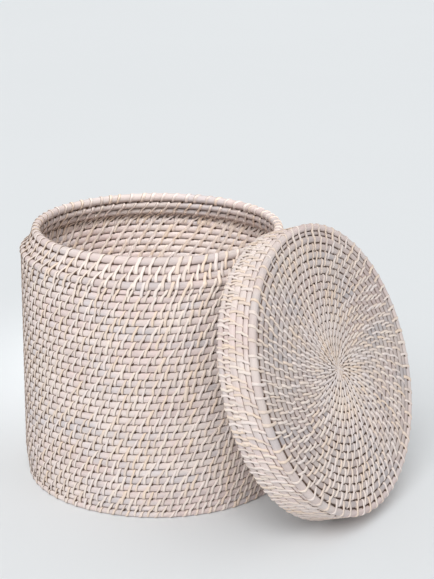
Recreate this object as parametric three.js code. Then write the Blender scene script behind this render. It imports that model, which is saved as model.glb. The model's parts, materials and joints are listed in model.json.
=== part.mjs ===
// Coiled rattan laundry basket with a loose lid, in millimetres, +Z up, origin at the centre of the base's underside.
//
// A coiled basket is a few long canes laid row on row. The base and the lid's face are flat spirals, the wall and the
// lid's skirt are helices, and the shoulder, neck and rim rows are joined into level rings. The canes are butted end
// to end. The lid stands on the floor beside the basket and leans back on its rim, towards +X.
import * as THREE from 'three';

// Driving dimensions
const BODY_RADIUS = 190; // outside of the wall
const ROW_PITCH = 10.6; // from one row of the basket to the next
const ROWS_TO_SHOULDER = 31.4; // row pitches from the floor to the top of the shoulder ring
const LID_RADIUS = 197; // outside of the lid's skirt
const LID_DEPTH = 58; // lid's top face to the skirt's open edge
const LID_FACE_PITCH = 10.6; // row spacing on the lid's face
const LID_SKIRT_PITCH = 11.2; // row spacing on the lid's skirt
const LEAN = THREE.MathUtils.degToRad(19.8); // lid's angle from upright
const GAP = 0.3; // clearance between touching pieces
const NECK_ROWS = [
  // each ring above the shoulder lies further in and higher up than the one before
  { name: 'neck_ring_lower', inward: 8.2, up: 7 },
  { name: 'neck_ring_upper', inward: 5.3, up: 10.1 },
  { name: 'rim_ring', inward: 3, up: 11.1 },
];

const FACETS = 24; // straight facets in one full turn
const SCARF = 0.125; // turns at which a tapered cane end is cut off
const CANE = ROW_PITCH - GAP; // thickness of the basket's canes
const LID_CANE = LID_FACE_PITCH - GAP; // thickness of the lid's canes
const OCTAGON_CORNER = 1 / Math.cos(Math.PI / 8); // corner radius of an octagon with an inner radius of 1

// Materials: whitewashed cane, a little warmer on the basket than on the lid
function caneMaterial(name, color) {
  return new THREE.MeshStandardMaterial({ name, color, roughness: 0.75, metalness: 0 });
}

const basketCane = caneMaterial('basket_cane', '#c9b6a8');
const rimCane = caneMaterial('rim_cane', '#d8c6b6');
const lidCane = caneMaterial('lid_cane', '#c4b8b0');
const lidEdge = caneMaterial('lid_edge_cane', '#d9cdc2');

function part(name, geometry, material) {
  geometry.deleteAttribute('uv');
  geometry.computeVertexNormals();
  const mesh = new THREE.Mesh(geometry, material);
  mesh.name = name;
  return mesh;
}

// A cane bent round the Z axis between two turn counts. section(turn) gives its inner and outer radius and its low
// and high side there, so that one function lays spirals, helices and tapered (scarfed) ends.
function bentCane(fromTurn, toTurn, section) {
  const half = 0.5;
  const square = new THREE.Shape([
    new THREE.Vector2(-half, -half),
    new THREE.Vector2(half, -half),
    new THREE.Vector2(half, half),
    new THREE.Vector2(-half, half),
  ]);
  const steps = Math.round((toTurn - fromTurn) * FACETS);
  const bar = new THREE.ExtrudeGeometry(square, { depth: steps, steps, bevelEnabled: false });
  const points = bar.getAttribute('position');
  for (let i = 0; i < points.count; i += 1) {
    const step = Math.round(points.getZ(i));
    const { inner, outer, low, high } = section(fromTurn + step / FACETS);
    const buttGap = GAP / 2 / outer;
    let angle = 2 * Math.PI * (fromTurn + step / FACETS);
    if (step === 0) angle += buttGap;
    if (step === steps) angle -= buttGap;
    // The section's first side runs inwards, which keeps the faces pointing out.
    const radius = (inner + outer) / 2 - points.getX(i) * (outer - inner);
    const height = (low + high) / 2 + points.getY(i) * (high - low);
    points.setXYZ(i, radius * Math.cos(angle), radius * Math.sin(angle), height);
  }
  return bar;
}

// A closed ring of round cane, drawn as an octagon that is flat at the top, bottom and sides.
function caneRing(radius, height, thickness) {
  const corner = (thickness / 2) * OCTAGON_CORNER;
  const profile = [];
  for (let i = 0; i <= 8; i += 1) {
    const angle = (i + 0.5) * (Math.PI / 4);
    profile.push(new THREE.Vector2(radius + corner * Math.cos(angle), height + corner * Math.sin(angle)));
  }
  const ring = new THREE.LatheGeometry(profile, FACETS);
  ring.rotateX(Math.PI / 2);
  return ring;
}

// The first tight turns at the middle of a flat spiral, bound into a solid disc.
function startDisc(radius, low, high) {
  const disc = new THREE.CylinderGeometry(radius, radius, high - low, FACETS);
  disc.rotateX(Math.PI / 2);
  disc.translate(0, 0, (low + high) / 2);
  return disc;
}

// A flat spiral between a start disc and an edge ring: its first turn tapers in and its last turn tapers out.
function spiralSection(startRadius, endRadius, pitch, low, high) {
  return (turn) => ({
    inner: startRadius + pitch * Math.max(turn - 1, 0) + GAP,
    outer: Math.min(startRadius + pitch * turn, endRadius - GAP),
    low,
    high,
  });
}

// A helix between two level rings, tapering in and out in the same way.
function helixSection(inner, outer, bottom, top, pitch) {
  return (turn) => ({
    inner,
    outer,
    low: bottom + pitch * Math.max(turn - 1, 0) + GAP,
    high: Math.min(bottom + pitch * turn, top - GAP),
  });
}

// Cuts a long coil into canes of a real length, butted end to end: name_1, name_2 and so on.
function buttedCanes(name, ends, section, material) {
  return ends.slice(1).map((end, i) => part(`${name}_${i + 1}`, bentCane(ends[i], end, section), material));
}

// Rounds a turn count to the facet grid, so that neighbouring rows' facets stay parallel.
function onGrid(turns) {
  return Math.round(turns * FACETS) / FACETS;
}

// Basket
function base() {
  const cornerRadius = BODY_RADIUS - CANE / 2;
  const endRadius = cornerRadius - CANE / 2;
  const turns = 16;
  const startRadius = endRadius - turns * ROW_PITCH;
  const section = spiralSection(startRadius, endRadius, ROW_PITCH, 0, CANE);
  const ends = [SCARF, 8, 13, onGrid(turns + 1 - SCARF)];
  return [
    part('base_start_disc', startDisc(startRadius, 0, CANE), basketCane),
    ...buttedCanes('base_cane', ends, section, basketCane),
    part('base_corner_ring', caneRing(cornerRadius, CANE / 2, CANE), basketCane),
  ];
}

const SHOULDER_TOP = ROWS_TO_SHOULDER * ROW_PITCH;
const SHOULDER_HEIGHT = SHOULDER_TOP - CANE / 2;

function wall() {
  const bottom = CANE;
  const top = SHOULDER_HEIGHT - CANE / 2;
  const rows = (top - bottom) / ROW_PITCH;
  const section = helixSection(BODY_RADIUS - CANE, BODY_RADIUS, bottom, top, ROW_PITCH);
  const lastEnd = onGrid(rows + 1 - SCARF);
  const canes = 8;
  const turnsPerCane = 3.75;
  const ends = [SCARF];
  for (let i = 1; i < canes; i += 1) {
    ends.push(SCARF + i * turnsPerCane);
  }
  ends.push(lastEnd);
  return buttedCanes('wall_cane', ends, section, basketCane);
}

// The shoulder ring and the three rings above it, which draw in to the rim.
function neck() {
  let radius = BODY_RADIUS - CANE / 2;
  let height = SHOULDER_HEIGHT;
  const rings = [part('shoulder_ring', caneRing(radius, height, CANE), rimCane)];
  for (const row of NECK_ROWS) {
    radius -= row.inward;
    height += row.up;
    rings.push(part(row.name, caneRing(radius, height, CANE), row.name === 'rim_ring' ? rimCane : basketCane));
  }
  return { rings, rimRadius: radius, rimHeight: height };
}

// Lid, drawn with its top face at height 0 and its skirt hanging below
const LID_CANE_RADIUS = LID_RADIUS - LID_CANE / 2;

function lidFace() {
  const endRadius = LID_RADIUS - LID_CANE;
  const turns = 16;
  const startRadius = endRadius - turns * LID_FACE_PITCH;
  const section = spiralSection(startRadius, endRadius, LID_FACE_PITCH, -LID_CANE, 0);
  const ends = [SCARF, 8, 13, onGrid(turns + 1 - SCARF)];
  return [
    part('lid_start_disc', startDisc(startRadius, -LID_CANE, 0), lidCane),
    ...buttedCanes('lid_cane', ends, section, lidCane),
    part('lid_corner_ring', caneRing(LID_CANE_RADIUS, -LID_CANE / 2, LID_CANE), lidEdge),
  ];
}

function lidSkirt() {
  const bottom = LID_CANE - LID_DEPTH;
  const top = -LID_CANE;
  const rows = (top - bottom) / LID_SKIRT_PITCH;
  const section = helixSection(LID_RADIUS - LID_CANE, LID_RADIUS, bottom, top, LID_SKIRT_PITCH);
  const skirt = bentCane(SCARF, onGrid(rows + 1 - SCARF), section);
  return [
    part('lid_skirt_cane', skirt, lidCane),
    part('lid_edge_ring', caneRing(LID_CANE_RADIUS, LID_CANE / 2 - LID_DEPTH, LID_CANE), lidEdge),
  ];
}

// The lid's edge ring stands on the floor at its lowest point and rests against the rim ring at its highest.
function leaningPosition(rimRadius, rimHeight) {
  const edgeDepth = LID_DEPTH - LID_CANE / 2;
  const floorHeight = (LID_CANE / 2) * OCTAGON_CORNER;
  const z = floorHeight + LID_CANE_RADIUS * Math.cos(LEAN) + edgeDepth * Math.sin(LEAN);
  const edgeTop = z + LID_CANE_RADIUS * Math.cos(LEAN) - edgeDepth * Math.sin(LEAN);
  const touching = ((CANE + LID_CANE) / 2) * OCTAGON_CORNER + GAP;
  const rise = edgeTop - rimHeight;
  const reach = Math.sqrt(touching * touching - rise * rise);
  const x = rimRadius + reach + LID_CANE_RADIUS * Math.sin(LEAN) + edgeDepth * Math.cos(LEAN);
  return new THREE.Vector3(x, 0, z);
}

const { rings, rimRadius, rimHeight } = neck();
const basket = new THREE.Group();
basket.add(...base(), ...wall(), ...rings);

const lid = new THREE.Group();
lid.add(...lidFace(), ...lidSkirt());
lid.rotation.y = Math.PI / 2 - LEAN;
lid.position.copy(leaningPosition(rimRadius, rimHeight));

const model = new THREE.Group();
model.name = 'coiled_laundry_basket';
model.add(basket, lid);

export default model;
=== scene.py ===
"""Coiled rattan laundry basket with a loose lid, in metres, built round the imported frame.

Every row is a round cane laid on the row before it, and thin strips of rattan peel bind the two together.
A straight cane or a straight run of stitches is made first, and is then bent round the coil it belongs to.
"""

import json
import math

import bmesh
import bpy
import numpy as np
from bpy.props import FloatProperty, FloatVectorProperty, IntProperty, PointerProperty
from mathutils import Matrix, Vector


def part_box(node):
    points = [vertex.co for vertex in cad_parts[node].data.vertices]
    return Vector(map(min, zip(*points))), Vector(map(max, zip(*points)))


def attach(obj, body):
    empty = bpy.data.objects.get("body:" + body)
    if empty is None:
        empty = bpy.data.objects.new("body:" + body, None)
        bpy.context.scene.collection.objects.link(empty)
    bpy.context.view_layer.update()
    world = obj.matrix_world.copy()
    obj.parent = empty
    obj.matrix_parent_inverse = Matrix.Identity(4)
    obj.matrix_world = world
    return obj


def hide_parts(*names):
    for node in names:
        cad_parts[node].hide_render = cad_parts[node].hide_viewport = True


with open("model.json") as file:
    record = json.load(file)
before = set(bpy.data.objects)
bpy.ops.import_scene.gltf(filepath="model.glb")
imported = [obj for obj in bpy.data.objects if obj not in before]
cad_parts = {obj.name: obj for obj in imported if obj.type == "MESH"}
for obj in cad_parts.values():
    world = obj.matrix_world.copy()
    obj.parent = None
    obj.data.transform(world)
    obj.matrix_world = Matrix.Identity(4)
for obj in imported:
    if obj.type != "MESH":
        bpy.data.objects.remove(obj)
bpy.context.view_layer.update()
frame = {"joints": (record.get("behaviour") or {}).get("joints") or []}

bl_info = {
    "name": "Coiled Laundry Basket",
    "version": (1, 0, 0),
    "blender": (4, 5, 0),
    "location": "3D View > Sidebar > Basket",
    "description": "Coiled rattan laundry basket with a loose lid",
    "category": "Add Mesh",
}

MM = 0.001
FULL_TURN = 2 * math.pi


# ---------------------------------------------------------------- the frame's own places


def mid(node):
    """Centre of a CAD node's box."""
    low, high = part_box(node)
    return (low + high) / 2


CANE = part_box("base_start_disc")[1].z
BODY_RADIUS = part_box("wall_cane_4")[1].x
BASE_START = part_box("base_start_disc")[1].x
RING_RADIUS = BODY_RADIUS - CANE / 2
SHOULDER = (RING_RADIUS, mid("shoulder_ring").z)
NECK_LOWER = (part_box("neck_ring_lower")[1].x - CANE / 2, mid("neck_ring_lower").z)
NECK_UPPER = (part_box("neck_ring_upper")[1].x - CANE / 2, mid("neck_ring_upper").z)
RIM = (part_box("rim_ring")[1].x - CANE / 2, mid("rim_ring").z)

LID_JOINT = next(joint for joint in frame["joints"] if joint["child"] == "lid")
LID_AXIS = Vector(LID_JOINT["axis"]).normalized()
LID_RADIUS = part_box("lid_corner_ring")[1].y
LID_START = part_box("lid_start_disc")[1].y
LID_CANE = CANE
LID_DEPTH = (mid("lid_corner_ring") - mid("lid_edge_ring")).length + LID_CANE
LID_RING_RADIUS = LID_RADIUS - LID_CANE / 2
LID_PLACE = (
    Matrix.Translation(mid("lid_start_disc") + LID_AXIS * LID_CANE / 2)
    @ Matrix.Rotation(math.atan2(LID_AXIS.x, LID_AXIS.z), 4, "Y")
)

WALL_LAST = (RING_RADIUS, SHOULDER[1] - CANE)
BASE_LAST = (RING_RADIUS - CANE, CANE / 2)
LID_CORNER = (LID_RING_RADIUS, -LID_CANE / 2)
LID_EDGE = (LID_RING_RADIUS, LID_CANE / 2 - LID_DEPTH)
LID_FACE_LAST = (LID_RING_RADIUS - LID_CANE, -LID_CANE / 2)
SKIRT_LAST = (LID_RING_RADIUS, -LID_CANE * 1.5)
SKIRT_FIRST = (LID_RING_RADIUS, LID_CANE * 1.5 - LID_DEPTH)

COIL_ROWS = 16  # whole rows between a start disc and its corner ring
WALL_SWELL = 0.66  # how square the wall's canes are: 1 is round and 0 is square
SCARF = 0.02  # turns at which a tapered cane end is cut off
FOOT_HEIGHT = 45 * MM  # height over which the wall is drawn in towards its foot
LOWEST_GRIP = 6 * MM  # lowest middle of a row that the wall's strips reach under
CORNER_STITCHES = 68  # in the lid's corner ring
BASE_CORNER_STITCHES = 60
START_STITCHES = 13  # fanning out from the middle of the lid
INSIDE_LEAN = (-0.50, 0.28)  # of the strips inside the basket
BASE_BULGE = 4.3 * MM  # half a base cane's thickness under its strips
LID_BULGE = 4.8 * MM  # half the thickness of a cane of the lid's face

SEAM_STOP = 12  # degrees short of the next cane at which a strip dives into the seam
RIM_WRAP = 258  # degrees round the outermost ring at which its strips end
PATH_STEP = 22  # degrees between the points of a strip's way over a cane
CROWDING = 0.27  # half a strip's width is never more than this share of the gap between stitches

FINE_GAP = 7.5 * MM  # between stitches at the middle of a flat spiral
WIDE_GAP = 16.8 * MM  # between stitches in its outer rows
FINE_WITHIN = 50 * MM  # radius up to which the stitches stay fine
WIDE_BEYOND = 125 * MM  # radius from which they are wide apart


# ---------------------------------------------------------------- sizes and colours


def length(name, description, default):
    return FloatProperty(name=name, description=description, default=default, min=0, unit="LENGTH")


def colour(name, description, default):
    return FloatVectorProperty(
        name=name, description=description, default=default, min=0, max=1, size=3, subtype="COLOR"
    )


class BasketSizes(bpy.types.PropertyGroup):
    """Sizes of the rows and of the peel binding."""

    foot_inset: length("Foot inset", "How far the wall is drawn in at its foot", 4.5 * MM)
    row_pitch: length("Row pitch", "From one row of the basket to the next", 10.6 * MM)
    skirt_pitch: length("Skirt row pitch", "From one row of the lid's skirt to the next", 11.2 * MM)
    bulge: length("Cane bulge", "Half a cane's thickness under its binding", 4.5 * MM)
    ring_round: length("Ring radius", "Half the thickness of the rings at the neck and rim", 5.8 * MM)
    corner_round: length("Corner radius", "Half the thickness of the corner and edge rings", 5.1 * MM)
    peel_width: length("Peel width", "Width of a strip of peel", 4.6 * MM)
    peel_thickness: length("Peel thickness", "Thickness of a strip of peel", 0.9 * MM)
    stitches: FloatProperty(name="Stitches", description="Stitches in one turn of the wall", default=62.55)
    skirt_stitches: FloatProperty(
        name="Skirt stitches", description="Stitches in one turn of the lid's skirt", default=67.55
    )
    seed: IntProperty(name="Seed", description="Seed of the small unevenness of handwork", default=7)


class BasketColours(bpy.types.PropertyGroup):
    """Colours of the whitewashed rattan and of the studio."""

    cream: colour("Cream", "Lightest whitewash on the cane", (0.94, 0.825, 0.775))
    pink: colour("Pink", "Pinkish cane showing through the whitewash", (0.87, 0.715, 0.68))
    grey: colour("Grey", "Cool grey patches of whitewash", (0.77, 0.71, 0.715))
    # seam is painted shade: it darkens the seams between rows, one edge and the seam ends of each strip, and
    # the awl holes.
    seam: colour("Seam", "Painted shade in seams, strip edges and awl holes", (0.16, 0.10, 0.07))
    peel_light: colour("Light peel", "Lightest strips of peel", (0.96, 0.83, 0.72))
    peel_warm: colour("Warm peel", "Peach strips of peel", (0.94, 0.76, 0.61))
    peel_dull: colour("Dull peel", "Greyed strips of peel", (0.80, 0.69, 0.63))
    floor: colour("Floor", "Studio floor and surroundings", (0.82, 0.85, 0.87))


# ---------------------------------------------------------------- straight stock, made with mesh operators


def straight_bar(sides, segments):
    """A straight round bar of radius 1 from z = 0 to z = segments, with a ring of vertices at each step."""
    bm = bmesh.new()
    bmesh.ops.create_cone(
        bm, cap_ends=True, cap_tris=False, segments=sides, radius1=1, radius2=1, depth=segments,
        matrix=Matrix.Translation((0, 0, segments / 2)),
    )
    if segments > 1:
        runs = [e for e in bm.edges if abs(e.verts[0].co.z - e.verts[1].co.z) > segments / 2]
        bmesh.ops.subdivide_edges(bm, edges=runs, cuts=segments - 1)
    return bm


def open_ends(bm):
    """Opens both ends of a bar, so that bending it round a full turn can weld them into a ring."""
    ends = [f for f in bm.faces if abs(f.normal.z) > 0.9 and len(f.verts) > 4]
    bmesh.ops.delete(bm, geom=ends, context="FACES_ONLY")


def run_of(bm, count, spacing):
    """Repeats everything in a bmesh count times along X, spacing apart, by doubling and then trimming."""
    made = 1
    while made < count:
        copies = bmesh.ops.duplicate(bm, geom=bm.verts[:] + bm.edges[:] + bm.faces[:])["geom"]
        shifted = [v for v in copies if isinstance(v, bmesh.types.BMVert)]
        bmesh.ops.translate(bm, verts=shifted, vec=(made * spacing, 0, 0))
        made *= 2
    spare = [v for v in bm.verts if v.co.x > (count - 0.5) * spacing]
    bmesh.ops.delete(bm, geom=spare, context="VERTS")


def squared(share, power):
    """Swells a round section towards its corners, as in canes pressed together, from its sine or cosine."""
    return np.sign(share) * np.abs(share) ** power


def ease(share):
    """A smooth step from 0 to 1."""
    return share * share * (3 - 2 * share)


def coordinates(mesh):
    points = np.empty(len(mesh.vertices) * 3)
    mesh.vertices.foreach_get("co", points)
    return points.reshape(-1, 3)


def paint_uv(mesh, along, around, period):
    """Gives each corner the length along its piece and the way round it, unwrapped across its seam."""
    corner_vertex = np.empty(len(mesh.loops), dtype=int)
    mesh.loops.foreach_get("vertex_index", corner_vertex)
    first = np.empty(len(mesh.polygons), dtype=int)
    mesh.polygons.foreach_get("loop_start", first)
    count = np.empty(len(mesh.polygons), dtype=int)
    mesh.polygons.foreach_get("loop_total", count)
    reference = np.repeat(around[corner_vertex[first]], count)
    turned = around[corner_vertex] - reference
    turned = (turned + period / 2) % period - period / 2
    uv = np.stack([along[corner_vertex], reference + turned], axis=1)
    layer = mesh.uv_layers.new(name="UVMap")
    layer.uv.foreach_set("vector", uv.astype(np.float32).ravel())


def paint_points(mesh, name, values):
    """Stores one number for each vertex, for the materials to read."""
    attribute = mesh.attributes.new(name, "FLOAT", "POINT")
    attribute.data.foreach_set("value", np.asarray(values, dtype=np.float32))


def finished_mesh(name, bm):
    mesh = bpy.data.meshes.new(name)
    bm.to_mesh(mesh)
    bm.free()
    return mesh


def weld(mesh):
    """Merges the two ends of a closed ring."""
    bm = bmesh.new()
    bm.from_mesh(mesh)
    bmesh.ops.remove_doubles(bm, verts=bm.verts, dist=0.01 * MM)
    bm.to_mesh(mesh)
    bm.free()


def add_piece(mesh, finish, body, replaces=()):
    """Puts a finished mesh in the scene, riding on its body and standing for its CAD nodes."""
    piece = bpy.data.objects.new(mesh.name, mesh)
    bpy.context.collection.objects.link(piece)
    mesh.materials.append(finish)
    mesh.shade_smooth()
    if body == "lid":
        mesh.transform(LID_PLACE)
    mesh.update()
    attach(piece, body)
    if replaces:
        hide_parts(*replaces)
    return piece


# ---------------------------------------------------------------- coils


def row_edge(turn, first, pitch, last):
    """Edge between one row of a coil and the next: level, then climbing one pitch a turn, then level."""
    return np.minimum(first + pitch * np.maximum(turn, 0), last)


class Coil:
    """A coil of cane between two level edges, first and last. across is the direction in which its rows
    follow each other, and home is where that line starts, both in the (radius, height) half-plane."""

    def __init__(self, across, home, first, pitch, last, swell, draw_in=0.0):
        self.across = np.array(across, dtype=float)
        self.home = np.array(home, dtype=float)
        self.first, self.pitch, self.last = first, pitch, last
        self.rows = (last - first) / pitch
        self.swell, self.draw_in = swell, draw_in

    def edge(self, turn):
        return row_edge(turn, self.first, self.pitch, self.last)

    def centre(self, turn):
        """Middle of the row laid at this turn, and half its height across the coil."""
        low, high = self.edge(turn - 1), self.edge(turn)
        return self.point((low + high) / 2), (high - low) / 2

    def centre_before(self, turn):
        """Middle of the row under the one laid at this turn, which is the start for the first turn."""
        low = np.where(turn < 1, self.first - self.pitch, self.edge(turn - 2))
        return self.point((low + self.edge(turn - 1)) / 2)

    def point(self, distance):
        """Place across the coil. A wall is drawn in a little towards its foot."""
        place = self.home + np.multiply.outer(distance, self.across)
        place[..., 0] -= self.draw_in * (1 - ease(np.clip(place[..., 1] / FOOT_HEIGHT, 0, 1)))
        return place


def bend_cane(name, coil, from_turn, to_turn, bulge, sides=12, steps=72):
    """A round cane laid along a coil between two turn counts. It thins where the coil tapers."""
    segments = round((to_turn - from_turn) * steps)
    mesh = finished_mesh(name, straight_bar(sides, segments))
    x, y, z = coordinates(mesh).T
    turn = from_turn + z / steps
    centre, half = coil.centre(turn)
    out = np.array([-coil.across[1], coil.across[0]])
    thickness = bulge * np.minimum(1, np.sqrt(half * 2 / coil.pitch))
    section = centre + np.multiply.outer(squared(x, coil.swell) * half * 0.99, coil.across)
    section += np.multiply.outer(squared(y, coil.swell) * thickness, out)
    swing = turn * FULL_TURN
    radius, height = section.T
    points = np.stack([radius * np.cos(swing), radius * np.sin(swing), height], axis=1)
    mesh.vertices.foreach_set("co", points.ravel())
    if np.cross(coil.across, out) > 0:
        mesh.flip_normals()
    run = z / steps * FULL_TURN * np.mean(radius)
    paint_uv(mesh, run, np.arctan2(y, x) * bulge, FULL_TURN * bulge)
    # Painted seam shade: darkest at the sides of the cane that meet the rows next to it.
    paint_points(mesh, "seam_shade", np.abs(squared(x, coil.swell)))
    return mesh


def bend_ring(name, centre, radius_of_cane, neighbours, sides=14, steps=108):
    """A level ring of round cane, its two ends welded, with painted shade on the sides that face its
    neighbours.
    """
    bm = straight_bar(sides, steps)
    open_ends(bm)
    mesh = finished_mesh(name, bm)
    x, y, z = coordinates(mesh).T
    swing = z / steps * FULL_TURN
    radius = centre[0] + y * radius_of_cane
    height = centre[1] + x * radius_of_cane
    points = np.stack([radius * np.cos(swing), radius * np.sin(swing), height], axis=1)
    mesh.vertices.foreach_set("co", points.ravel())
    paint_uv(mesh, swing * centre[0], np.arctan2(y, x) * radius_of_cane, FULL_TURN * radius_of_cane)
    # Painted shade, where each neighbouring cane touches this ring.
    touching = np.zeros(len(x))
    for neighbour in neighbours:
        toward = np.subtract(neighbour, centre)
        toward /= np.linalg.norm(toward)
        touching = np.maximum(touching, squared(np.clip(y * toward[0] + x * toward[1], 0, 1), 0.62))
    paint_points(mesh, "seam_shade", touching)
    weld(mesh)
    return mesh


def start_disc(name, radius, low, high):
    """The tight first turns at the middle of a coil, as one flattened disc with shallow ripples."""
    flatness, ripple_depth, fill = 0.45, 0.05, 0.86
    middle, half = (low + high) / 2, (high - low) / 2
    bm = bmesh.new()
    bmesh.ops.create_uvsphere(bm, u_segments=36, v_segments=24, radius=1)
    mesh = finished_mesh(name, bm)
    x, y, z = coordinates(mesh).T
    reach = np.hypot(x, y)
    ripple = 1 - ripple_depth * np.abs(np.sin(reach * math.pi * 1.5)) ** 3
    rise = squared(z, flatness) * half * ripple * fill
    points = np.stack([x * radius, y * radius, middle + rise], axis=1)
    mesh.vertices.foreach_set("co", points.ravel())
    paint_uv(mesh, reach * radius, np.arctan2(y, x) * radius, FULL_TURN * radius)
    # Painted shade, darker towards the disc's edge where the next row lies against it.
    paint_points(mesh, "seam_shade", np.clip(reach * 1.2 - 0.5, 0, 0.6))
    return mesh


# ---------------------------------------------------------------- peel binding


def even_swings(per_turn, turns, rng, unevenness=0.07):
    """Stitch angles with the same number in every turn, each row shifted by about half a stitch."""
    count = int(per_turn * turns)
    step = FULL_TURN / per_turn
    swings = np.arange(count) * step
    below = math.floor(per_turn)
    for i in range(below + 1, count):
        between = 0.55 * swings[i - below] + 0.45 * swings[i - below - 1]
        swings[i] = between + FULL_TURN + unevenness * step * rng.standard_normal()
    return swings


def dive_angle(cane, neighbour, out, across):
    """Angle, from out towards across, at which a strip round a cane dives into the seam with a neighbour."""
    toward = np.subtract(neighbour, cane)
    angle = math.degrees(math.atan2(toward @ across, toward @ out))
    return angle - math.copysign(SEAM_STOP, angle)


def dive_angles(after, own, before, below, side):
    """Angles at which a strip over own and before starts, next to after, and ends, next to below. Without an
    after it wraps all the way round its own cane."""
    across = np.subtract(own, before) / np.linalg.norm(np.subtract(own, before))
    out = np.array([across[1], -across[0]]) * side
    start = dive_angle(own, after, out, across) if after else RIM_WRAP
    return start, dive_angle(before, below, out, across)


def over_two_canes(own, before, surface, side, start, end, dip, swell):
    """The way a strip takes over its own row and the row before it, in the (radius, height) half-plane.
    start and end are the angles at which it dives into the seams. Returns points, outward normals, how far
    along each point is (1 at the far seam of its own row, -1 at that of the row before), and how deep in a
    seam it is."""
    gap = own - before
    spread = np.linalg.norm(gap, axis=1, keepdims=True)
    across = gap / spread
    out = np.stack([across[:, 1], -across[:, 0]], axis=1) * side
    half = spread / 2
    own_stops = np.linspace(start, 0, max(4, round(start / PATH_STEP) + 1))
    before_stops = np.linspace(0, end, max(4, round(-end / PATH_STEP) + 1))
    points, normals, progress, depth = [], [], [], []
    for cane, angles in ((own, own_stops), (before, before_stops)):
        for angle in angles:
            turned = math.radians(angle)
            rise, reach = math.cos(turned), math.sin(turned)
            normals.append(out * rise + across * reach)
            points.append(cane + out * surface * squared(rise, swell)
                          + across * half * squared(reach, swell))
            progress.append(angle / 180 + (0.5 if cane is own else -0.5))
            depth.append(0.0)
        depth[0 if cane is own else -1] = 1.0
        if cane is own:
            points.append((own + before) / 2 + out * (surface - dip))
            normals.append(out)
            progress.append(0.0)
            depth.append(0.1)
    return np.stack(points, axis=1), np.stack(normals, axis=1), np.array(progress), np.array(depth)


def bind(name, swings, own, before, sizes, rng, side=1, dives=(78.0, -78.0), lean=(0.34, -0.12), width=0.92,
         dip=0.3 * MM, bulge=None, swell=WALL_SWELL):
    """One stitch of peel at each angle in swings. lean is how far its ends lie sideways, in stitch gaps."""
    count = len(swings)
    surface = (bulge or sizes.bulge) + sizes.peel_thickness * 0.2
    path, normals, progress, depth = over_two_canes(own, before, surface, side, *dives, dip, swell)
    bm = straight_bar(4, path.shape[1] - 1)
    run_of(bm, count, spacing=10)
    mesh = finished_mesh(name, bm)
    x, y, z = coordinates(mesh).T
    stitch = np.rint(x / 10).astype(int)
    stop = np.rint(z).astype(int)
    x = x - stitch * 10
    across, raised = x - y, x + y
    spacing = np.gradient(swings) * path[:, :, 0].mean(axis=1)
    lean_own = lean[0] + 0.07 * rng.standard_normal(count)
    lean_before = lean[1] + 0.05 * rng.standard_normal(count)
    sideways = np.outer(lean_own * spacing, np.maximum(progress, 0))
    sideways += np.outer(lean_before * spacing, np.maximum(-progress, 0))
    breadth = width * sizes.peel_width / 2 * (1 + 0.14 * rng.standard_normal(count))
    breadth = np.minimum(breadth, spacing * CROWDING)[stitch] * np.where(raised > 0, 0.82, 1.0)
    rise = np.where(raised > 0, 0.6, -0.8) * sizes.peel_thickness
    section = path[stitch, stop] + normals[stitch, stop] * rise[:, None]
    radius, height = section.T
    swing = swings[stitch] + (sideways[stitch, stop] + across * breadth) / radius
    points = np.stack([radius * np.cos(swing), radius * np.sin(swing), height], axis=1)
    mesh.vertices.foreach_set("co", points.ravel())
    if side < 0:
        mesh.flip_normals()
    run = np.linalg.norm(np.diff(path, axis=1), axis=2).mean(axis=0)
    reach = np.concatenate([[0], np.cumsum(run)])
    paint_uv(mesh, reach[stop] + stitch * 0.05, across * sizes.peel_width / 2, 1.0)
    # across, from which the peel material paints a shadow along one edge of each strip
    paint_points(mesh, "edge", across)
    # Painted shade on the strip's ends, where they dive into the seams.
    paint_points(mesh, "seam_shade", depth[stop])
    paint_points(mesh, "tone", rng.random(count)[stitch])
    return mesh


def awl_holes(name, swings, own, before, sizes, side=1, bulge=None, lean=0.34, tall=3.4 * MM,
              wide=1.8 * MM):
    """A dark three-cornered flake beside each stitch, painted shade for its awl hole, in the seam it crosses
    and along its leaning half.
    """
    bm = straight_bar(3, 1)
    run_of(bm, len(swings), spacing=10)
    mesh = finished_mesh(name, bm)
    x, y, z = coordinates(mesh).T
    hole = np.rint(x / 10).astype(int)
    x = x - hole * 10
    gap = own - before
    spread = np.linalg.norm(gap, axis=1, keepdims=True)
    across = gap / spread
    out = np.stack([across[:, 1], -across[:, 0]], axis=1) * side
    depth = (bulge or sizes.bulge) * (0.4 + 0.55 * z)
    up = y * tall + 0.25 * tall
    section = ((own + before) / 2)[hole] + out[hole] * depth[:, None] + across[hole] * up[:, None]
    radius, height = section.T
    spacing = np.gradient(swings) * radius[: len(swings)].mean()
    size = np.clip(spacing / (18 * MM), 0.45, 1.1)[hole]
    sideways = side * (sizes.peel_width * 0.36 + (x + 0.5) * wide) * size
    sideways += side * lean * (spacing / spread[:, 0])[hole] * up
    swing = swings[hole] + sideways / radius
    points = np.stack([radius * np.cos(swing), radius * np.sin(swing), height], axis=1)
    mesh.vertices.foreach_set("co", points.ravel())
    bm = bmesh.new()
    bm.from_mesh(mesh)
    bmesh.ops.recalc_face_normals(bm, faces=bm.faces)
    bm.to_mesh(mesh)
    bm.free()
    paint_uv(mesh, radius, height, 1.0)
    return mesh


# ---------------------------------------------------------------- materials


def new_material(name, roughness, specular):
    """A material with a node tree, its shader's plain values set on the shader itself."""
    material = bpy.data.materials.new(name)
    material.use_nodes = True
    tree = material.node_tree
    shader = tree.nodes["Principled BSDF"]
    shader.inputs["Roughness"].default_value = roughness
    shader.inputs["Specular IOR Level"].default_value = specular
    return material, tree, shader


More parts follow.
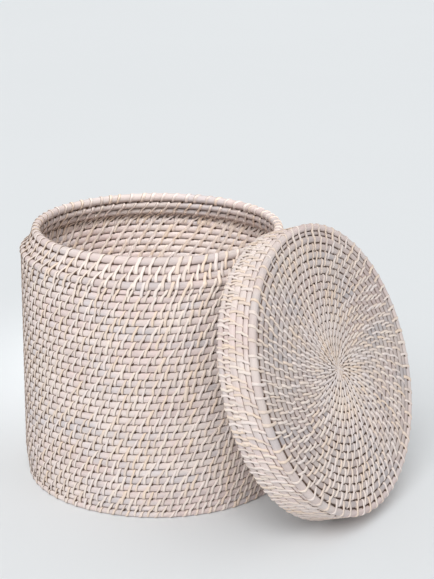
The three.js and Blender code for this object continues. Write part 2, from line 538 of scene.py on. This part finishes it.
def noise(tree, source, scale, detail=3.0, roughness=0.55):
    """Noise over source, stretched by scale along its axes."""
    mapping = tree.nodes.new("ShaderNodeMapping")
    mapping.inputs["Scale"].default_value = scale
    tree.links.new(source, mapping.inputs["Vector"])
    texture = tree.nodes.new("ShaderNodeTexNoise")
    texture.inputs["Scale"].default_value = 1.0
    texture.inputs["Detail"].default_value = detail
    texture.inputs["Roughness"].default_value = roughness
    tree.links.new(mapping.outputs["Vector"], texture.inputs["Vector"])
    return texture.outputs["Fac"]


def ramp(tree, factor, stops):
    """A colour ramp through (position, colour) stops."""
    node = tree.nodes.new("ShaderNodeValToRGB")
    elements = node.color_ramp.elements
    while len(elements) < len(stops):
        elements.new(0.5)
    for element, (position, shade) in zip(elements, stops):
        element.position = position
        element.color = (*shade, 1) if hasattr(shade, "__len__") else (shade, shade, shade, 1)
    tree.links.new(factor, node.inputs["Fac"])
    return node.outputs["Color"]


def mix(tree, factor, under, over, how="MIX"):
    """Mixes two colours by a factor that is a number or a socket."""
    node = tree.nodes.new("ShaderNodeMix")
    node.data_type = "RGBA"
    node.blend_type = how
    for value, socket in ((factor, "Factor_Float"), (under, "A_Color"), (over, "B_Color")):
        target = next(s for s in node.inputs if s.identifier == socket)
        if isinstance(value, bpy.types.NodeSocket):
            tree.links.new(value, target)
        else:
            target.default_value = value if isinstance(value, float) else (*value, 1)
    return next(s for s in node.outputs if s.identifier == "Result_Color")


def attribute(tree, name):
    node = tree.nodes.new("ShaderNodeAttribute")
    node.attribute_name = name
    return node.outputs["Fac"]


def bump(tree, shader, height, strength, distance):
    node = tree.nodes.new("ShaderNodeBump")
    node.inputs["Strength"].default_value = strength
    node.inputs["Distance"].default_value = distance
    tree.links.new(height, node.inputs["Height"])
    tree.links.new(node.outputs["Normal"], shader.inputs["Normal"])


def cane_material(name, colours, greyness, lightness, seam_start):
    """Whitewashed round cane: streaks along it, patches of wash over the rows, and painted shade in the
    seams.
    """
    material, tree, shader = new_material(name, roughness=0.72, specular=0.25)
    coordinates_node = tree.nodes.new("ShaderNodeTexCoord")
    over_rows, along_cane = coordinates_node.outputs["Object"], coordinates_node.outputs["UV"]
    patches = noise(tree, over_rows, (9, 9, 22), detail=4)
    base = ramp(tree, patches, [(0.38, tuple(colours.cream)), (0.62, tuple(colours.pink))])
    cool = ramp(tree, noise(tree, over_rows, (14, 14, 34), detail=3), [(0.50, 0.0), (0.66, greyness)])
    base = mix(tree, cool, base, tuple(colours.grey))
    lengths = ramp(tree, noise(tree, along_cane, (22, 90, 1), detail=2), [(0.3, 0.84), (0.7, 1.0)])
    base = mix(tree, 1.0, base, lengths, "MULTIPLY")
    fibres = noise(tree, along_cane, (60, 1700, 1), detail=3, roughness=0.65)
    streaks = ramp(tree, fibres, [(0.30, 0.85), (0.60, 1.0)])
    base = mix(tree, 1.0, base, streaks, "MULTIPLY")
    base = mix(tree, 1.0, base, (lightness, lightness, lightness), "MULTIPLY")
    # Painted shade: the cane is darkened towards the seam colour where it meets the next row.
    seams = ramp(tree, attribute(tree, "seam_shade"), [(seam_start, 0.0), (seam_start + 0.2, 1.0)])
    base = mix(tree, seams, base, tuple(colours.seam))
    tree.links.new(base, shader.inputs["Base Color"])
    bump(tree, shader, fibres, 0.35, 0.3 * MM)
    return material


def peel_material(name, colours, greyness, shadow):
    """Rattan peel: each strip has its own tone, fine fibres, a painted shadow along one edge, and painted
    shade on its ends in the seams.
    """
    material, tree, shader = new_material(name, roughness=0.55, specular=0.35)
    coordinates_node = tree.nodes.new("ShaderNodeTexCoord")
    tones = ramp(
        tree,
        attribute(tree, "tone"),
        [(0.0, tuple(colours.peel_light)), (0.40, tuple(colours.cream)), (0.66, tuple(colours.peel_warm)),
         (1.0, tuple(colours.peel_dull))],
    )
    fibres = noise(tree, coordinates_node.outputs["UV"], (120, 2600, 1), detail=3, roughness=0.65)
    streaks = ramp(tree, fibres, [(0.32, 0.87), (0.62, 1.0)])
    base = mix(tree, 1.0, tones, streaks, "MULTIPLY")
    wash = noise(tree, coordinates_node.outputs["Object"], (20, 20, 30), detail=3)
    base = mix(tree, ramp(tree, wash, [(0.38, 0.0), (0.66, greyness)]), base, tuple(colours.grey))
    # Painted shadow along one edge of each strip.
    shaded = ramp(tree, attribute(tree, "edge"), [(0.55, 0.0), (1.0, shadow)])
    base = mix(tree, shaded, base, tuple(colours.seam))
    # Painted shade on the strip's ends in the seams.
    ends = ramp(tree, attribute(tree, "seam_shade"), [(0.3, 0.0), (1.0, 0.8)])
    base = mix(tree, ends, base, tuple(colours.seam))
    tree.links.new(base, shader.inputs["Base Color"])
    bump(tree, shader, fibres, 0.3, 0.2 * MM)
    return material


def hole_shade_material(name, colours):
    """Painted shade for an awl hole: a speckled dark brown flake."""
    material, tree, shader = new_material(name, roughness=0.95, specular=0.05)
    coordinates_node = tree.nodes.new("ShaderNodeTexCoord")
    speckle = noise(tree, coordinates_node.outputs["Object"], (300, 300, 300))
    brown = tuple(colours.seam)
    dark = tuple(channel * 0.5 for channel in brown)
    tree.links.new(ramp(tree, speckle, [(0.3, dark), (0.7, brown)]), shader.inputs["Base Color"])
    return material


def floor_material(name, colours):
    material, tree, shader = new_material(name, roughness=0.8, specular=0.1)
    coordinates_node = tree.nodes.new("ShaderNodeTexCoord")
    soft = noise(tree, coordinates_node.outputs["Object"], (0.6, 0.6, 0.6))
    pale = tuple(colours.floor)
    shade = tuple(channel * 0.985 for channel in pale)
    tree.links.new(ramp(tree, soft, [(0.3, shade), (0.7, pale)]), shader.inputs["Base Color"])
    return material


FINISHES = {
    "whitewashed_cane": (cane_material, {"greyness": 0.9, "lightness": 1.0, "seam_start": 0.80}),
    # lightness 0.88 is painted shade that keeps the rings a little darker than the wall's cane.
    "tight_cane": (cane_material, {"greyness": 0.7, "lightness": 0.88, "seam_start": 0.82}),
    "skirt_cane": (cane_material, {"greyness": 0.4, "lightness": 1.0, "seam_start": 0.90}),
    # The lid face's cane is a darker copy of the wall's: its lower lightness is painted shade, its grey
    # patches the wash's own colour.
    "greyed_lid_cane": (cane_material, {"greyness": 0.9, "lightness": 0.735, "seam_start": 0.70}),
    "basket_peel": (peel_material, {"greyness": 0.2, "shadow": 0.8}),
    "pale_peel": (peel_material, {"greyness": 0.2, "shadow": 0.35}),
    "lid_peel": (peel_material, {"greyness": 0.55, "shadow": 0.45}),
    # The dark flakes in the awl holes are painted shade.
    "awl_hole": (hole_shade_material, {}),
    "studio_floor": (floor_material, {}),
}


def material(name):
    """Finds a finish by name, or makes it."""
    made = bpy.data.materials.get(name)
    if not made:
        make, settings = FINISHES[name]
        made = make(name, bpy.context.scene.basket_colours, **settings)
    return made


# ---------------------------------------------------------------- the coils of this basket


def base_coil(sizes):
    last = BASE_LAST[0] + CANE / 2 - sizes.foot_inset
    return Coil((1, 0), (0, CANE / 2), BASE_START, (last - BASE_START) / COIL_ROWS, last, WALL_SWELL)


def wall_coil(sizes):
    top = SHOULDER[1] - CANE / 2
    return Coil((0, 1), (RING_RADIUS, 0), CANE, sizes.row_pitch, top, WALL_SWELL, sizes.foot_inset)


def lid_face_coil():
    last = LID_RING_RADIUS - LID_CANE / 2
    return Coil((1, 0), (0, -LID_CANE / 2), LID_START, (last - LID_START) / COIL_ROWS, last, 0.84)


def skirt_coil(sizes):
    return Coil((0, 1), (LID_RING_RADIUS, 0), LID_CANE - LID_DEPTH, sizes.skirt_pitch, -LID_CANE, 0.38)


def cane_ends(from_turn, to_turn, lengths):
    """Turn counts at which a long coil's canes are butted, each length in turns."""
    ends = [from_turn]
    for turns in lengths:
        ends.append(ends[-1] + turns)
    ends.append(to_turn)
    return ends


def lay_canes(prefix, coil, ends, bulge, body, finish):
    """Lays a coil as several canes butted end to end, each standing for its CAD node."""
    for i, (begin, end) in enumerate(zip(ends, ends[1:]), start=1):
        node = f"{prefix}_{i}"
        mesh = bend_cane(f"{node}_round", coil, begin, end, bulge)
        add_piece(mesh, material(finish), body, [node])


def lay_ring(node, centre, neighbours, radius_of_cane, body, finish):
    mesh = bend_ring(f"{node}_round", centre, radius_of_cane, neighbours)
    add_piece(mesh, material(finish), body, [node])


def ring_rows(centre, before, count):
    """The same two row centres for every stitch of a level ring."""
    return np.tile(np.array(centre, float), (count, 1)), np.tile(np.array(before, float), (count, 1))


# ---------------------------------------------------------------- operators


class BASKET_OT_base_canes(bpy.types.Operator):
    """Lay the flat spiral of the base and its corner ring"""

    bl_idname = "basket.base_canes"
    bl_label = "Base canes"

    def execute(self, context):
        sizes = context.scene.basket_sizes
        coil = base_coil(sizes)
        mesh = start_disc("base_start_disc_round", BASE_START, 0, CANE)
        add_piece(mesh, material("whitewashed_cane"), "basket", ["base_start_disc"])
        ends = cane_ends(SCARF, COIL_ROWS + 1 - SCARF, [8 - SCARF, 5])
        lay_canes("base_cane", coil, ends, sizes.bulge, "basket", "whitewashed_cane")
        corner = (RING_RADIUS - sizes.foot_inset, CANE / 2)
        neighbours = ((0, CANE / 2), (corner[0], CANE))
        lay_ring("base_corner_ring", corner, neighbours, sizes.corner_round, "basket",
                 "whitewashed_cane")
        return {"FINISHED"}


class BASKET_OT_wall_canes(bpy.types.Operator):
    """Lay the helix of the wall, eight canes butted end to end"""

    bl_idname = "basket.wall_canes"
    bl_label = "Wall canes"

    def execute(self, context):
        sizes = context.scene.basket_sizes
        coil = wall_coil(sizes)
        ends = cane_ends(SCARF, coil.rows + 1 - SCARF, [3.75] * 7)
        lay_canes("wall_cane", coil, ends, sizes.bulge, "basket", "whitewashed_cane")
        return {"FINISHED"}


class BASKET_OT_neck_canes(bpy.types.Operator):
    """Lay the shoulder, the two neck rows and the rim"""

    bl_idname = "basket.neck_canes"
    bl_label = "Shoulder, neck and rim"

    def execute(self, context):
        sizes = context.scene.basket_sizes
        rings = (
            ("shoulder_ring", SHOULDER, (WALL_LAST, NECK_LOWER), sizes.corner_round, "rim_cane"),
            ("neck_ring_lower", NECK_LOWER, (SHOULDER, NECK_UPPER), sizes.ring_round, "basket_cane"),
            ("neck_ring_upper", NECK_UPPER, (NECK_LOWER, RIM), sizes.ring_round, "basket_cane"),
            ("rim_ring", RIM, (NECK_UPPER,), sizes.ring_round, "rim_cane"),
        )
        for node, centre, neighbours, radius_of_cane, slot in rings:
            lay_ring(node, centre, neighbours, radius_of_cane, "basket", "tight_cane")
        return {"FINISHED"}


class BASKET_OT_lid_canes(bpy.types.Operator):
    """Lay the lid's face spiral, corner ring, skirt and edge ring"""

    bl_idname = "basket.lid_canes"
    bl_label = "Lid canes"

    def execute(self, context):
        sizes = context.scene.basket_sizes
        mesh = start_disc("lid_start_disc_round", LID_START, -LID_CANE, 0)
        add_piece(mesh, material("basket_peel"), "lid", ["lid_start_disc"])
        ends = cane_ends(SCARF, COIL_ROWS + 1 - SCARF, [8 - SCARF, 5])
        lay_canes("lid_cane", lid_face_coil(), ends, LID_BULGE, "lid", "greyed_lid_cane")
        corner_neighbours = (LID_FACE_LAST, SKIRT_LAST)
        lay_ring("lid_corner_ring", LID_CORNER, corner_neighbours, sizes.corner_round,
                 "lid", "tight_cane")
        skirt = skirt_coil(sizes)
        mesh = bend_cane("lid_skirt_cane_round", skirt, SCARF, skirt.rows + 1 - SCARF, sizes.bulge)
        add_piece(mesh, material("skirt_cane"), "lid", ["lid_skirt_cane"])
        lay_ring("lid_edge_ring", LID_EDGE, (SKIRT_FIRST,), sizes.corner_round,
                 "lid", "tight_cane")
        return {"FINISHED"}


def spiral_swings(coil, rng):
    """Stitch angles along a flat spiral. Each stitch lies between two of the row before, and where those
    have drawn too far apart there are two."""

    def wanted(swing):
        radius = coil.first + coil.pitch * (swing / FULL_TURN - 0.5)
        share = np.clip((radius - FINE_WITHIN) / (WIDE_BEYOND - FINE_WITHIN), 0, 1)
        return (FINE_GAP + (WIDE_GAP - FINE_GAP) * ease(share)) / radius

    first = round(FULL_TURN / wanted(FULL_TURN))
    swings = [FULL_TURN * (0.3 + i / first) for i in range(first + 1)]
    i = 0
    while swings[-1] < coil.rows * FULL_TURN:
        gap = swings[i + 1] - swings[i]
        aim = wanted(swings[-1])
        between = (0.27, 0.77) if gap > aim * (1.42 + 0.1 * rng.random()) else (0.52,)
        for share in between:
            swing = swings[i] + gap * (share + 0.04 * rng.standard_normal()) + FULL_TURN
            swings.append(0.75 * swing + 0.25 * (swings[-1] + min(aim, 1.3 * (swing - swings[-1]))))
        i += 1
    return np.array(swings[:-1])


def coil_rows(coil, swings):
    """Middles of each stitch's own row and of the row before it."""
    turn = swings / FULL_TURN
    return coil.centre(turn)[0], coil.centre_before(turn)


def ring_swings(count, shift=0.0):
    """Stitch angles evenly round a ring, the first one shift stitches on from zero."""
    return (np.arange(count) + shift) * FULL_TURN / count


def add_stitches(name, swings, rows, sizes, rng, finish, body, slot, **shape):
    """Binds one run of rows with peel. rows holds the middles of each stitch's row and the row before it."""
    mesh = bind(name, swings, *rows, sizes, rng, **shape)
    add_piece(mesh, material(finish), body)


def add_holes(name, swings, rows, sizes, body, slot, **shape):
    """Lays a dark flake, painted shade, in each awl hole of one run of rows."""
    mesh = awl_holes(name, swings, *rows, sizes, **shape)
    add_piece(mesh, material("awl_hole"), body)


class BASKET_OT_wall_binding(bpy.types.Operator):
    """Bind the wall's rows with peel, outside and inside, and paint the shade of the awl holes"""

    bl_idname = "basket.wall_binding"
    bl_label = "Wall binding"

    def execute(self, context):
        sizes = context.scene.basket_sizes
        rng = np.random.default_rng(sizes.seed)
        place = ("basket", "basket_cane")
        coil = wall_coil(sizes)
        swings = even_swings(sizes.stitches, coil.rows + 1 - SCARF, rng)
        swings = swings[swings > SCARF * FULL_TURN]
        rows = coil_rows(coil, swings)
        rows[1][:, 1] = np.maximum(rows[1][:, 1], LOWEST_GRIP)
        add_stitches("wall_stitches_outside", swings, rows, sizes, rng, "basket_peel", *place)
        add_holes("wall_awl_holes_outside", swings, rows, sizes, *place)
        add_stitches("wall_stitches_inside", swings, rows, sizes, rng, "pale_peel", *place,
                     side=-1, lean=INSIDE_LEAN, width=1.2)
        add_holes("wall_awl_holes_inside", swings, rows, sizes, *place,
                  side=-1, lean=0.4, bulge=4.8 * MM, wide=3.2 * MM)
        return {"FINISHED"}


class BASKET_OT_base_binding(bpy.types.Operator):
    """Bind the base's rows and its corner with peel, underneath and inside"""

    bl_idname = "basket.base_binding"
    bl_label = "Base binding"

    def execute(self, context):
        sizes = context.scene.basket_sizes
        rng = np.random.default_rng(sizes.seed + 1)
        finish = ("basket_peel", "basket", "basket_cane")
        coil = base_coil(sizes)
        swings = spiral_swings(coil, rng)
        rows = coil_rows(coil, swings)
        for name, side in (("base_stitches_under", 1), ("base_stitches_inside", -1)):
            add_stitches(name, swings, rows, sizes, rng, *finish,
                         side=side, lean=(0.2 * side, 0.0), bulge=BASE_BULGE)
        corner = (RING_RADIUS - sizes.foot_inset, CANE / 2)
        last = (corner[0] - CANE, CANE / 2)
        dives = dive_angles((corner[0], CANE), corner, last, (0, CANE / 2), 1)
        rows = ring_rows(corner, last, BASE_CORNER_STITCHES)
        add_stitches("corner_stitches", ring_swings(BASE_CORNER_STITCHES), rows, sizes, rng, *finish,
                     dives=dives, bulge=BASE_BULGE)
        return {"FINISHED"}


class BASKET_OT_neck_binding(bpy.types.Operator):
    """Bind the shoulder, neck and rim with peel"""

    bl_idname = "basket.neck_binding"
    bl_label = "Neck binding"

    def execute(self, context):
        sizes = context.scene.basket_sizes
        rng = np.random.default_rng(sizes.seed + 2)
        under_wall_top = (WALL_LAST[0], WALL_LAST[1] - CANE)
        neck_bulge = sizes.ring_round - 0.4 * MM
        courses = (
            ("shoulder", NECK_LOWER, SHOULDER, WALL_LAST, under_wall_top, 0.0, sizes.bulge, "basket_cane"),
            ("step", NECK_UPPER, NECK_LOWER, SHOULDER, WALL_LAST, 0.5, neck_bulge, "basket_cane"),
            ("neck", RIM, NECK_UPPER, NECK_LOWER, SHOULDER, 0.0, neck_bulge, "basket_cane"),
            ("rim", None, RIM, NECK_UPPER, NECK_LOWER, 0.5, neck_bulge, "rim_cane"),
        )
        sides = (("outside", 1, (0.36, -0.1)), ("inside", -1, INSIDE_LEAN))
        count = round(sizes.stitches)
        for name, after, own, before, below, shift, bulge, slot in courses:
            swings = ring_swings(count, shift + 0.05 * rng.standard_normal(count))
            rows = ring_rows(own, before, count)
            for place, side, lean in sides:
                if after or side > 0:
                    dives = dive_angles(after, own, before, below, side)
                    add_stitches(f"{name}_stitches_{place}", swings, rows, sizes, rng,
                                 "basket_peel", "basket", slot,
                                 side=side, dives=dives, lean=lean, bulge=bulge, width=1.1)
            for place, side, _ in sides:
                add_holes(f"{name}_awl_holes_{place}", swings, rows, sizes, "basket", slot,
                          side=side, bulge=bulge, tall=2.6 * MM)
        return {"FINISHED"}


class BASKET_OT_lid_binding(bpy.types.Operator):
    """Bind the lid's face, corner and skirt with peel, outside and inside"""

    bl_idname = "basket.lid_binding"
    bl_label = "Lid binding"

    def execute(self, context):
        sizes = context.scene.basket_sizes
        rng = np.random.default_rng(sizes.seed + 3)
        self.bind_face(sizes, rng)
        self.bind_corner(sizes, rng)
        self.bind_skirt(sizes, rng)
        self.bind_edge(sizes, rng)
        return {"FINISHED"}

    def bind_face(self, sizes, rng):
        place = ("lid", "lid_cane")
        finish = ("lid_peel", *place)
        coil = lid_face_coil()
        swings = spiral_swings(coil, rng)
        rows = coil_rows(coil, swings)
        add_stitches("lid_face_stitches", swings, rows, sizes, rng, *finish,
                     side=-1, lean=(-0.30, 0.12), width=0.86, bulge=LID_BULGE, swell=coil.swell)
        add_holes("lid_face_awl_holes", swings, rows, sizes, *place,
                  side=-1, bulge=LID_BULGE + 0.1 * MM, tall=4.2 * MM, wide=3.0 * MM)
        start = ring_swings(START_STITCHES, 0.12 * rng.standard_normal(START_STITCHES))
        outer, inner = (LID_START * 0.70, -LID_CANE / 2), (LID_START * 0.22, -LID_CANE / 2)
        start_rows = ring_rows(outer, inner, START_STITCHES)
        add_stitches("lid_start_stitches", start, start_rows, sizes, rng, *finish,
                     side=-1, lean=(-0.4, 0.2), bulge=4.6 * MM, width=0.8)
        add_stitches("lid_stitches_inside", swings, rows, sizes, rng, *finish,
                     lean=(0.2, 0.0), width=0.72, bulge=LID_BULGE, swell=coil.swell)

    def bind_corner(self, sizes, rng):
        swings = ring_swings(CORNER_STITCHES)
        rows = ring_rows(LID_CORNER, LID_FACE_LAST, CORNER_STITCHES)
        below = (LID_FACE_LAST[0] - LID_CANE, LID_FACE_LAST[1])
        dives = dive_angles(SKIRT_LAST, LID_CORNER, LID_FACE_LAST, below, -1)
        add_stitches("lid_corner_stitches", swings, rows, sizes, rng, "pale_peel", "lid", "lid_edge_cane",
                     side=-1, dives=dives, lean=(-0.2, 0.0))
        add_holes("lid_corner_awl_holes", swings, rows, sizes, "lid", "lid_edge_cane", side=-1)

    def bind_skirt(self, sizes, rng):
        place = ("lid", "lid_edge_cane")
        coil = skirt_coil(sizes)
        swings = even_swings(sizes.skirt_stitches, coil.rows + 1 - SCARF, rng)
        swings = swings[swings > SCARF * FULL_TURN]
        rows = coil_rows(coil, swings)
        add_stitches("skirt_stitches", swings, rows, sizes, rng, "pale_peel", *place, swell=coil.swell)
        add_holes("skirt_awl_holes", swings, rows, sizes, *place, tall=1.8 * MM)
        add_stitches("skirt_stitches_inside", swings, rows, sizes, rng, "pale_peel", *place,
                     side=-1, lean=(-0.25, 0.1), swell=coil.swell)

    def bind_edge(self, sizes, rng):
        count = round(sizes.skirt_stitches)
        above = (SKIRT_FIRST[0], SKIRT_FIRST[1] + LID_CANE)
        dives = dive_angles(None, LID_EDGE, SKIRT_FIRST, above, -1)
        rows = ring_rows(LID_EDGE, SKIRT_FIRST, count)
        add_stitches("edge_stitches", ring_swings(count), rows, sizes, rng,
                     "pale_peel", "lid", "lid_edge_cane",
                     side=-1, dives=dives, lean=(-0.25, 0.0))


class BASKET_OT_stage(bpy.types.Operator):
    """Set the pale floor, the soft studio light and the camera"""

    bl_idname = "basket.stage"
    bl_label = "Stage"

    def execute(self, context):
        self.lay_floor(context)
        self.set_camera(context)
        self.set_lights(context)
        context.scene.view_settings.view_transform = "Standard"
        return {"FINISHED"}

    def lay_floor(self, context):
        bm = bmesh.new()
        bmesh.ops.create_grid(bm, x_segments=8, y_segments=8, size=60)
        floor = bpy.data.objects.new("studio_floor", finished_mesh("studio_floor", bm))
        floor.data.materials.append(material("studio_floor"))
        context.collection.objects.link(floor)

    def set_camera(self, context):
        azimuth = math.radians(-56.73)
        distance = 2.2826
        height = 0.9841
        aside = 0.0364  # radians by which the camera looks past the basket's middle
        heading = azimuth + math.pi - aside
        pitch = 0.305
        roll = 0.0068
        data = bpy.data.cameras.new("studio_camera")
        data.lens = 105.9
        data.sensor_width = 36
        camera = bpy.data.objects.new("studio_camera", data)
        camera.location = (distance * math.cos(azimuth), distance * math.sin(azimuth), height)
        level = math.cos(pitch)
        looking = Vector((math.cos(heading) * level, math.sin(heading) * level, -math.sin(pitch)))
        upright = looking.to_track_quat("-Z", "Y").to_matrix()
        camera.rotation_euler = (upright @ Matrix.Rotation(roll, 3, "Z")).to_euler()
        context.collection.objects.link(camera)
        context.scene.camera = camera

    def set_lights(self, context):
        world = bpy.data.worlds.new("studio_air")
        world.use_nodes = True
        background = world.node_tree.nodes["Background"]
        background.inputs["Color"].default_value = (1, 1, 1, 1)
        background.inputs["Strength"].default_value = 0.63
        context.scene.world = world
        self.inner_fill(context)
        self.soft_sun(context, "key_light", toward=(0.19, -0.67, 0.70), softness=40, power=1.5)

    def inner_fill(self, context):
        """A narrow soft light on the far inside of the basket."""
        data = bpy.data.lights.new("inner_fill", "SPOT")
        data.spot_size = math.radians(9)
        data.spot_blend = 1
        data.shadow_soft_size = 0.25
        data.energy = 360
        light = bpy.data.objects.new("inner_fill", data)
        light.location = (0.75, -1.14, 2.4)
        aim = Vector((-0.11, 0.165, 0.27)) - light.location
        light.rotation_euler = aim.to_track_quat("-Z", "Y").to_euler()
        context.collection.objects.link(light)

    def soft_sun(self, context, name, toward, softness, power):
        data = bpy.data.lights.new(name, "SUN")
        data.angle = math.radians(softness)
        data.energy = power
        light = bpy.data.objects.new(name, data)
        light.rotation_euler = Vector(toward).to_track_quat("Z", "Y").to_euler()
        context.collection.objects.link(light)


class BASKET_PT_panel(bpy.types.Panel):
    """Sizes, colours and building steps of the basket"""

    bl_idname = "BASKET_PT_panel"
    bl_label = "Coiled Basket"
    bl_space_type = "VIEW_3D"
    bl_region_type = "UI"
    bl_category = "Basket"

    def draw(self, context):
        for group in (context.scene.basket_sizes, context.scene.basket_colours):
            box = self.layout.box()
            for name in group.__annotations__:
                box.prop(group, name)
        for operator in OPERATORS:
            self.layout.operator(operator.bl_idname)


OPERATORS = (
    BASKET_OT_stage,
    BASKET_OT_base_canes,
    BASKET_OT_wall_canes,
    BASKET_OT_neck_canes,
    BASKET_OT_lid_canes,
    BASKET_OT_base_binding,
    BASKET_OT_wall_binding,
    BASKET_OT_neck_binding,
    BASKET_OT_lid_binding,
)
CLASSES = (BasketSizes, BasketColours, *OPERATORS, BASKET_PT_panel)


def register():
    for cls in CLASSES:
        bpy.utils.register_class(cls)
    bpy.types.Scene.basket_sizes = PointerProperty(type=BasketSizes)
    bpy.types.Scene.basket_colours = PointerProperty(type=BasketColours)


def unregister():
    del bpy.types.Scene.basket_colours
    del bpy.types.Scene.basket_sizes
    for cls in reversed(CLASSES):
        bpy.utils.unregister_class(cls)


def main():
    register()
    for operator in OPERATORS:
        group, name = operator.bl_idname.split(".")
        getattr(getattr(bpy.ops, group), name)()


if __name__ == "__main__":
    main()
